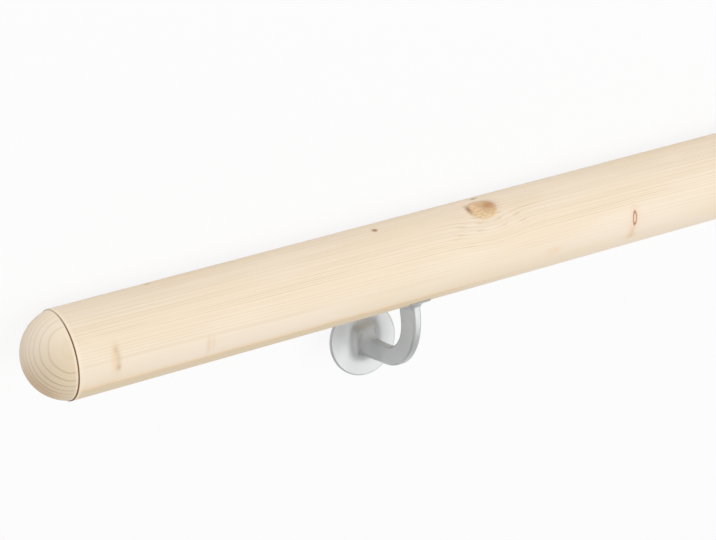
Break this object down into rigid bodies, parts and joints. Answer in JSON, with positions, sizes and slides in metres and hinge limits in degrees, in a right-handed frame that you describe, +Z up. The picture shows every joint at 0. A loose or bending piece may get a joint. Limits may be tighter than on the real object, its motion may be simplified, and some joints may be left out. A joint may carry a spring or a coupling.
{
  "type": "stair handrail length",
  "caption": "Round softwood handrail with domed turned end caps, carried on hooked satin metal wall brackets with round roses.",
  "frame": {"origin": "floor under the middle of the whole part, as it lies unheld on its back", "axes": "+X along the rail, towards the right end of the rail in use; +Y away from the roses; +Z up from the floor that it lies on"},
  "size_m": [1.542, 0.1356, 0.0611],
  "materials": {
    "rail_wood": "planed and sanded pale spruce, unfinished, straight grain with small knots",
    "cap_wood": "turned pale spruce, end grain on the crown",
    "bracket_metal": "die-cast, satin"
  },
  "bodies": {
    "root": {"handrail": "rail_wood", "end_cap_left": "cap_wood", "end_cap_right": "cap_wood", "bracket_left": "bracket_metal", "bracket_right": "bracket_metal"}
  },
  "joints": []
}
